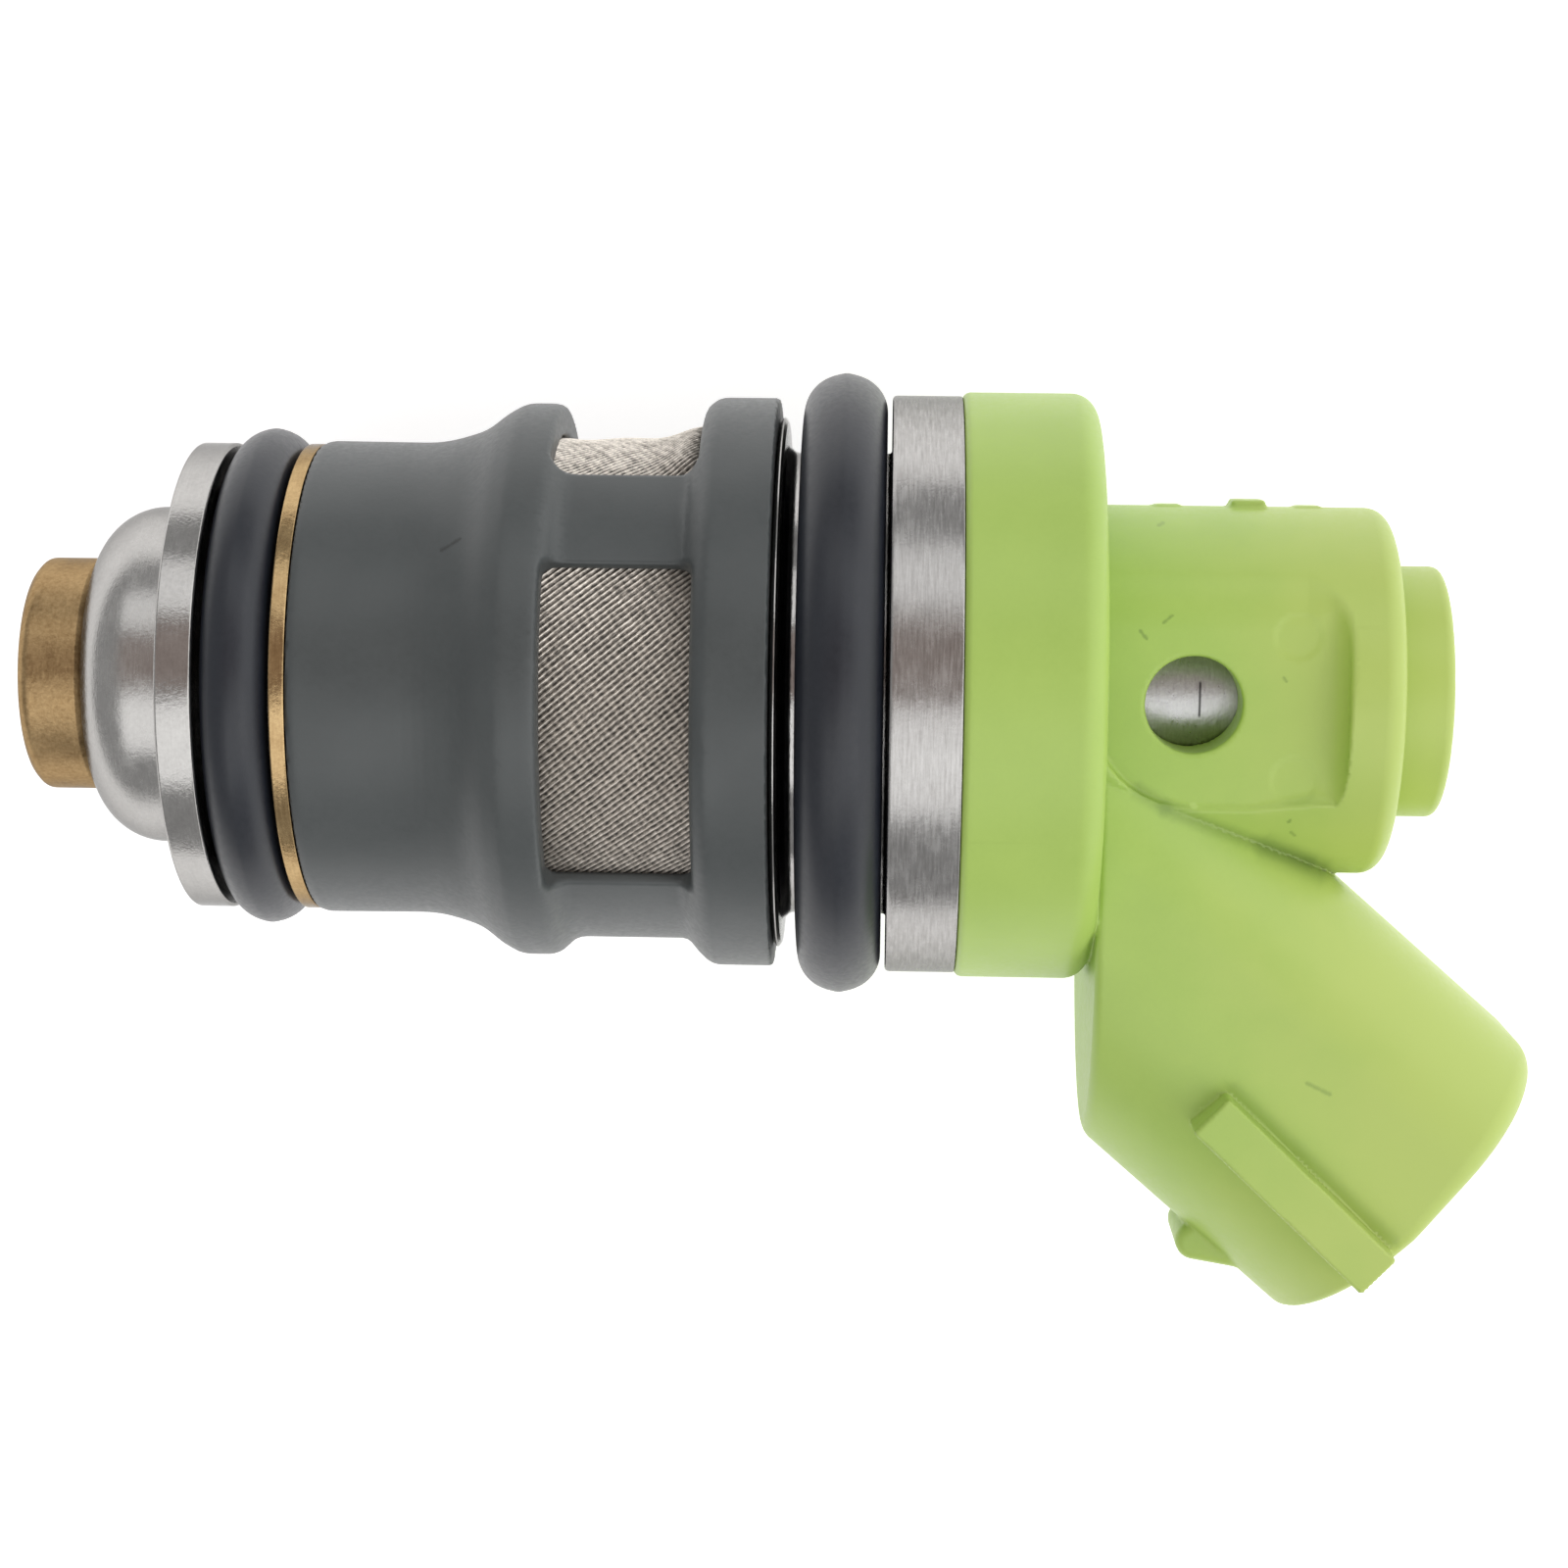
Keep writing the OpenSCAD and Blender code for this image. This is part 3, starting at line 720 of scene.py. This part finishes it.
flange_and_shank = [
    (dome_x + 0.05, dome_r, 0), (flange_front, dome_r, 0.15),
    (flange_front, flange_r - 0.07, 0.05), (flange_front + 0.07, flange_r, 0.05),
    (flange_back - 0.09, flange_r, 0.04), (flange_back, flange_r - 0.09, 0.04),
    (flange_back, shank_r, 0.1), (shank_end, shank_r, 0.05),
    (shank_end, STEM_R, 0.05), (body_back, STEM_R, 0.1),
]
lathe(
    "valve_body",
    softened(tip_seat) + dome_edge + arc(dome_x, DOME_RING_R, DOME_ROUND, front_turn, 92, 16)
    + softened(flange_and_shank + needle_bore + [(plate_back, SEAT_HOLE_R, 0)]),
    steel, "nozzle_body",
)

# ---------------------------------------------------------------- seals

SEAL_STEPS = 200


def o_ring(name, node, squash, ridge):
    """O-ring of the CAD's size, squashed a little, its outside coming to the mould's faint ridge."""
    x0, x1 = ends(node)
    size = (x1 - x0) / 2
    middle = (x0 + x1) / 2
    ring = radius(node) - size
    outline = []
    for degrees in range(0, 360, 4):
        a = math.radians(degrees)
        x = middle + size * math.cos(a) + squash * np.clip(math.cos(a) * 4, -1, 1)
        swell = ridge * max(0.0, 1 - abs(x - middle) / (0.45 * size)) ** 2
        outline.append((x, ring + (size - ridge) * math.sin(a) + (swell if math.sin(a) > 0 else 0)))
    return lathe(name, outline, rubber, node, SEAL_STEPS)


o_ring("small_o_ring", "lower_o_ring", 0.0, 0.03)
o_ring("large_o_ring", "upper_o_ring", 0.07, 0.06)

ring_front, ring_back = ends("backup_ring")
ring_r = radius("backup_ring")
ring_hole_r = shank_r + 0.05
lathe(
    "brass_backup",
    softened([
        (ring_front, ring_hole_r, 0.05), (ring_front, ring_r, 0.08), (ring_back, ring_r, 0.1),
        (ring_back, ring_hole_r, 0.05),
    ]),
    ring_brass, "backup_ring",
)

# ---------------------------------------------------------------- steel housing

house_front, house_back = ends("housing")
pilot_r = radius("housing")
pilot_back = house_back - 4.2
pilot_front = 0  # the CAD's own datum
groove_r = pilot_r - 2.25
barrel_r = pilot_r - 1.65
LIP_R = 10.35
lip_front = house_front + 9.2
lip_back = lip_front + 0.3
SLEEVE_R = 7.0
STEM_BORE_R = STEM_R + SLIP
COIL_BORE_R = 7.6
COIL_BORE_FRONT = -3.2
CORE_BORE_R = 3.95
CORE_BORE_FRONT = -10
lathe(
    "steel_housing",
    softened([
        (house_front, STEM_BORE_R, 0.05), (house_front, SLEEVE_R, 0.1), (lip_front, SLEEVE_R, 0),
        (lip_front, LIP_R - 0.15, 0.03), (lip_front + 0.1, LIP_R, 0.03),
        (lip_front + 0.17, LIP_R, 0.03), (lip_front + 0.28, LIP_R - 0.17, 0.03),
        (lip_back, groove_r + 0.3, 0.05), (lip_back + 0.3, groove_r, 0.15),
        (pilot_front, groove_r, 0.12), (pilot_front, pilot_r, 0.2),
        (pilot_back, pilot_r, 0.08), (pilot_back, barrel_r, 0),
        (house_back, barrel_r, 0.1), (house_back, COIL_BORE_R, 0.05),
        (COIL_BORE_FRONT, COIL_BORE_R, 0), (COIL_BORE_FRONT, CORE_BORE_R, 0.05),
        (CORE_BORE_FRONT, CORE_BORE_R, 0), (CORE_BORE_FRONT, STEM_BORE_R, 0),
    ]),
    ground_steel, "housing",
)

# ---------------------------------------------------------------- filter

cage_front, cage_back = ends("filter_cage")
cage_r = radius("filter_cage")
gauze_front, gauze_back = ends("filter_gauze")
gauze_r = radius("filter_gauze")
WINDOWS = (-5.5, 92.5, 223.5)  # where each window's middle lies round the axis, in degrees
WINDOW_HALF_ANGLE = 36.5
WINDOW_CORNER = 0.5
WINDOW_EDGE = 0.16
window_front, window_back = gauze_front + 0.6, gauze_back - 0.7
window_middle = (window_front + window_back) / 2
FRONT_BORE_R = 7.25
FRONT_BORE_END = -16.4
INNER_R = 8.6
CUT_R = 8.9
SHOULDER_R = 10.8
STRUT_R = 10.08
cage_outline = softened([
    (cage_front, FRONT_BORE_R, 0.05), (cage_front, 9.15, 0.06),
    (cage_front + 0.3, cage_r - 1.85, 0.2), (cage_front + 4.7, cage_r - 1.88, 1.2),
    (cage_front + 6.4, 9.74, 0.5), (cage_front + 7.25, 10.42, 0.3),
    (cage_front + 7.95, SHOULDER_R, 0.3), (window_front - 0.05, SHOULDER_R, 0.6),
    (window_front + 0.6, STRUT_R, 0.8), (window_back - 0.45, STRUT_R, 0.7),
    (window_back - 0.05, 10.6, 0.5), (window_back + 0.5, cage_r, 0.6),
    (cage_back, cage_r, 0.12), (cage_back, SLEEVE_R + SLIP, 0), (gauze_back, SLEEVE_R + SLIP, 0),
    (gauze_back, gauze_r + SLIP, 0), (gauze_front, gauze_r + SLIP, 0), (gauze_front, INNER_R, 0),
    (FRONT_BORE_END, INNER_R, 0), (FRONT_BORE_END, FRONT_BORE_R, 0),
])


def off_middle(turn, centre):
    """Angle in degrees between a turn round the axis and a window's middle."""
    return np.abs((turn - centre + 180) % 360 - 180)


def cage_field(p):
    """Grey cage: turned outline with soft edges and three windows with rounded corners."""
    x, y, z = p.T
    far = np.hypot(y, z)
    turn = np.degrees(np.arctan2(y, z))
    body = polygon(x, far, cage_outline)
    for centre in WINDOWS:
        side = np.radians(off_middle(turn, centre) - WINDOW_HALF_ANGLE) * 10.0 + WINDOW_CORNER
        end = np.abs(x - window_middle) - (window_back - window_front) / 2 + WINDOW_CORNER
        hole = rounded(side, end) - WINDOW_CORNER
        body = cut(body, np.maximum(hole, CUT_R - far), WINDOW_EDGE)
    return body


CAGE_ROOM = 0.5
moulded(
    "window_cage", cage_field, (cage_front - CAGE_ROOM, -cage_r - CAGE_ROOM, -cage_r - CAGE_ROOM),
    (cage_back + CAGE_ROOM, cage_r + CAGE_ROOM, cage_r + CAGE_ROOM), cell=0.2, keep=0.5,
    material=grey, node="filter_cage",
)

POINTS_PER_WIRE = 6
GAUZE_ROWS = 44
GAUZE_SWELL = (0.10, 0.48, 0.3)  # how far the gauze bulges in each window
WIRE_HEIGHT = 0.07
GAUZE_OUTER_R = gauze_r - 0.16
GAUZE_INNER_R = gauze_r - 0.3


def gauze_row(x, swollen):
    """Ring of gauze points at X, on its outside with the wires or on its plain inside."""
    steps = WIRES * POINTS_PER_WIRE
    j = np.arange(steps)
    angle = 2 * math.pi * j / steps + WIRE_SLANT / gauze_r * x
    r = np.full(steps, GAUZE_INNER_R)
    if swollen:
        thread = 0.5 + 0.5 * np.cos(2 * math.pi * j / POINTS_PER_WIRE)
        r = GAUZE_OUTER_R + WIRE_HEIGHT * thread
        near_end = np.clip(min(x - window_front, window_back + 0.45 - x) / 0.5, 0, 1)
        hump = math.exp(-(((x - window_back + 0.2) / 1.25) ** 2))
        wave = hump - 0.1 * math.sin((x - window_front) * 1.9)
        for centre, swell in zip(WINDOWS, GAUZE_SWELL):
            off = off_middle(np.degrees(angle), centre)
            inside = np.clip((WINDOW_HALF_ANGLE - off) / 9, 0, 1)
            inside = inside * inside * (3 - 2 * inside)
            r = r + swell * inside * near_end * wave
    return np.column_stack([np.full(steps, x), r * np.sin(angle), r * np.cos(angle)])


def make_gauze():
    """Gauze sleeve with slanting wire ridges, and a soft wave in each window."""
    rows = [gauze_row(x, True) for x in np.linspace(gauze_front, gauze_back, GAUZE_ROWS)]
    inner = (gauze_back, (gauze_front + gauze_back) / 2, gauze_front)
    rows += [gauze_row(x, False) for x in inner]
    faces = [f[::-1] for f in ring_faces(len(rows), WIRES * POINTS_PER_WIRE)]
    make_piece("woven_gauze", np.concatenate(rows), faces, gauze, "filter_gauze")


make_gauze()

# ---------------------------------------------------------------- green moulding

# Disc, neck and boss
disc_r = radius("upper_o_ring") - 0.7
lo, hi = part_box("top_moulding")
disc_front = lo.x / MM
disc_end = disc_front + 5.2
NECK_R = 7.12
core_end = ends("core_tube")[1]
core_r = radius("core_tube")
neck_end = core_end - 0.5
BOSS_R = 4.88
boss_end = core_end + 1.6

# Gate mark on the neck, and a smaller stub on each side of it
GATE_X = 13.78
GATE_HALF = (0.66, 0.28, 0.7)
STUB_X = 13.4
STUB_OFF = 2.7
STUB_HALF = (0.5, 0.17, 0.5)

# Flat with the sight hole, on both sides, and the two round marks in it
FLAT_Z = 5.8
FLAT_END = 17.05
FLAT_R = 3.85
FLAT_TOP = 7.0
FLAT_BOTTOM = -3.95
FLAT_FULL = 3.0
SIGHT_X = 11.4
SIGHT_R = 1.82
MARK_X = 15.2
MARK_Y = -0.1
MARK_OFF = 2.7
MARK_EDGE = 0.3
MARK_DEPTH = 0.05

# Socket: its angle, where its mouth is along its axis, and its section
SOCKET_ANGLE = math.radians(41)
MOUTH = 28.55
MOUTH_SLOPE = 0.5
HALF_W = 6.9
BELOW_V = -1.25
ABOVE_V = 1.05
ABOVE_R = 5.0
WALL = 1.2
SOCKET_DEPTH = 8.6

# Guide rails: half sizes, and the corner that they are turned about
RAIL_TILT = math.radians(-2.4)
RAIL_HALF = (4.45, 0.935, 2.0)
RAIL_W = 6.0
RAIL_V = -4.72
RAIL_SETBACK = 0.5

# Catch under the socket
CATCH = ((23.66, -8.29), (25.2, -7.35), (25.2, -6.4), (24.3, -6.4))
CATCH_R = 0.76
CATCH_HALF_W = 2.0


def socket_axes(p):
    """Distance along the socket's axis, across it, and sideways."""
    x, y, z = p.T
    c, s = math.cos(SOCKET_ANGLE), math.sin(SOCKET_ANGLE)
    return x * c - y * s, x * s + y * c, z


def socket_section(v, w, grow):
    """Socket's section: round below, a rounded flat above."""
    below = np.hypot(v - BELOW_V, w) - HALF_W
    above = rounded(v - ABOVE_V, np.abs(w) - (HALF_W - ABOVE_R)) - ABOVE_R
    return np.where(v < BELOW_V, below, above) - grow


def rail_field(u, v, w):
    """Guide rail on each side of the socket, turned a little about its end at the mouth."""
    c, s = math.cos(RAIL_TILT), math.sin(RAIL_TILT)
    p, q = u - MOUTH + RAIL_SETBACK, v - RAIL_V
    along, across = p * c + q * s, q * c - p * s
    return block(along + RAIL_HALF[0], across - RAIL_HALF[1], np.abs(w) - RAIL_W, RAIL_HALF, 0.14)


def socket_field(u, v, w):
    """Socket with its rails and catch, not yet hollow."""
    lip = u - MOUTH + np.interp(v, (-8, -2), (MOUTH_SLOPE, 0))
    body = overlap(socket_section(v, w, 0), lip, np.interp(v, (-5, 5), (0.3, 1.2)))
    body = union(body, rail_field(u, v, w), 0.08)
    catch = overlap(polygon(u, v, CATCH) - CATCH_R, np.abs(w) - CATCH_HALF_W, 0.4)
    return union(body, catch, 0.12)


def flat_field(x, y, side):
    """Hollow above the flat around the sight hole, with two shallow round marks in its floor."""
    shape = np.hypot(x - SIGHT_X, y) - FLAT_R
    shape = np.minimum(shape, np.abs(y - FLAT_TOP / 2) - FLAT_TOP / 2)
    lower = np.maximum(np.maximum(FLAT_BOTTOM - y, SIGHT_X - x), y - FLAT_FULL)
    shape = np.maximum(np.minimum(shape, lower), x - FLAT_END)
    from_mark = np.hypot(x - MARK_X, np.abs(y - MARK_Y) - MARK_OFF)
    mark = np.clip((1.0 - from_mark) / MARK_EDGE, 0, 1)
    floor_z = FLAT_Z - MARK_DEPTH * mark * mark * (3 - 2 * mark)
    fillet = np.interp(x, (13.5, 16.0), (0.2, 0.9))
    return np.maximum(overlap(shape, floor_z - side, fillet), disc_end - 0.01 - x)


def moulding_field(p):
    """Green moulding: disc, neck, boss and socket, with its hollows cut."""
    x, y, z = p.T
    side = np.abs(z)
    far = np.hypot(y, z)
    u, v, w = socket_axes(p)
    neck = rod(x, far, disc_front, neck_end, NECK_R, 0.85)
    body = union(neck, rod(x, far, disc_front, boss_end, BOSS_R, 0.35), 0.12)
    gate = block(x - GATE_X, y - NECK_R, z, GATE_HALF, 0.14)
    stubs = block(np.abs(x - STUB_X) - STUB_OFF, y - NECK_R + 0.12, z, STUB_HALF, 0.12)
    body = union(union(body, gate, 0.2), stubs, 0.15)
    body = union(body, overlap(socket_field(u, v, w), disc_end - x, 0.3), 0.06)
    edge = np.interp(y, (-3.0, 1.0), (0.15, 0.7)) * np.interp(x, (15.6, 16.6), (1.0, 0.3))
    body = cut(body, flat_field(x, y, side), edge)
    crisp = rod(x, far, disc_front, disc_end, disc_r, 0.3)
    soft = rod(x, far, disc_front - 5, disc_end, disc_r, 1.0)
    body = union(body, np.maximum(crisp, soft), 0.15)
    body = cut(body, np.hypot(x - SIGHT_X, y) - SIGHT_R, 0.14)
    body = np.maximum(body, -np.maximum(far - barrel_r - SLIP, x - house_back))
    body = np.maximum(body, -np.maximum(far - core_r - SLIP, x - core_end - 0.1))
    hollow = overlap(socket_section(v, w, -WALL), MOUTH - SOCKET_DEPTH - u, 0.3)
    return cut(body, np.maximum(hollow, u - MOUTH - 3), 0.25)


MOULDING_ROOM = 0.6
moulded(
    "green_moulding", moulding_field,
    [c / MM - MOULDING_ROOM for c in lo], [c / MM + MOULDING_ROOM for c in hi], cell=0.16, keep=0.36,
    material=green, node="top_moulding",
)

# ---------------------------------------------------------------- studio


FLOOR_SIZE = 3.0  # metres, from the middle to each edge


def floor():
    """Plain pale floor that the injector lies on."""
    z = cad_box[0].z
    corners = ((-1, -1), (1, -1), (1, 1), (-1, 1))
    mesh = bpy.data.meshes.new("floor")
    mesh.from_pydata([(FLOOR_SIZE * x, FLOOR_SIZE * y, z) for x, y in corners], [], [(0, 1, 2, 3)])
    piece = bpy.data.objects.new("floor", mesh)
    bpy.context.scene.collection.objects.link(piece)
    white = Paint("floor").finish(
        (0.86, 0.86, 0.86), 0.9,
        Specular_IOR_Level=0.1, Emission_Color=(1.0, 1.0, 1.0), Emission_Strength=0.6,
    )
    mesh.materials.append(white)


floor()


def room():
    """Soft room light: warm and dim overhead between the two lamps, bright towards the cap's end."""
    world = bpy.data.worlds.new("studio")
    bpy.context.scene.world = world
    world.use_nodes = True
    g = Graph(world.node_tree)
    x, y, z = g.axes(g.node("TexCoord").outputs["Generated"])
    lean = g.math("ARCTAN2", y, z)
    overhead = g.times(g.step(lean, -0.05, 0.0), g.less(1.0, g.step(lean, 0.54, 0.60)))
    light = g.blend(overhead, (0.41, 0.41, 0.41), (0.41, 0.345, 0.32))
    light = g.blend(g.step(x, 0.42, 0.72), light, (1.45, 1.45, 1.45))
    light = g.blend(g.step(g.times(x, -1.0), 0.42, 0.72), light, (0.45, 0.45, 0.45))
    shine = world.node_tree.nodes["Background"]
    g.put(shine.inputs["Color"], light)
    g.put(shine.inputs["Strength"], 1.0)


room()


def softbox(name, place, size, power):
    """Rectangular lamp aimed at the middle of the injector's frame."""
    data = bpy.data.lights.new(name, "AREA")
    data.shape = "RECTANGLE"
    data.size, data.size_y = size
    data.energy = power
    lamp = bpy.data.objects.new(name, data)
    bpy.context.scene.collection.objects.link(lamp)
    lamp.location = place
    lamp.rotation_euler = (-Vector(place)).to_track_quat("-Z", "Y").to_euler()


# Place and size in metres, and power in watts
softbox("key", (0.05, -0.244, 0.548), (0.98, 0.48), 1.63)
softbox("fill", (0.05, 0.446, 0.401), (0.98, 0.30), 0.78)

CAMERA_PLACE = (-0.03, 13.1, 121.82)  # mm, straight above the injector and a little to the Y side
CAMERA_RIGHT = (0.99935, 0.01019, -0.03454)  # the picture's right-hand direction
CAMERA_BACK = (0.03279, 0.13909, 0.98974)  # away from the injector
LENS = 71.57
SENSOR = 36.0


def camera():
    """Camera at the photograph's viewing angle."""
    data = bpy.data.cameras.new("camera")
    eye = bpy.data.objects.new("camera", data)
    bpy.context.scene.collection.objects.link(eye)
    data.lens = LENS
    data.sensor_width = SENSOR
    data.clip_start = 0.01
    back = Vector(CAMERA_BACK).normalized()
    up = back.cross(Vector(CAMERA_RIGHT)).normalized()
    turn = Matrix((up.cross(back), up, back)).transposed().to_4x4()
    eye.matrix_world = Matrix.Translation(Vector(CAMERA_PLACE) * MM) @ turn
    bpy.context.scene.camera = eye


camera()
bpy.context.scene.view_settings.view_transform = "Standard"
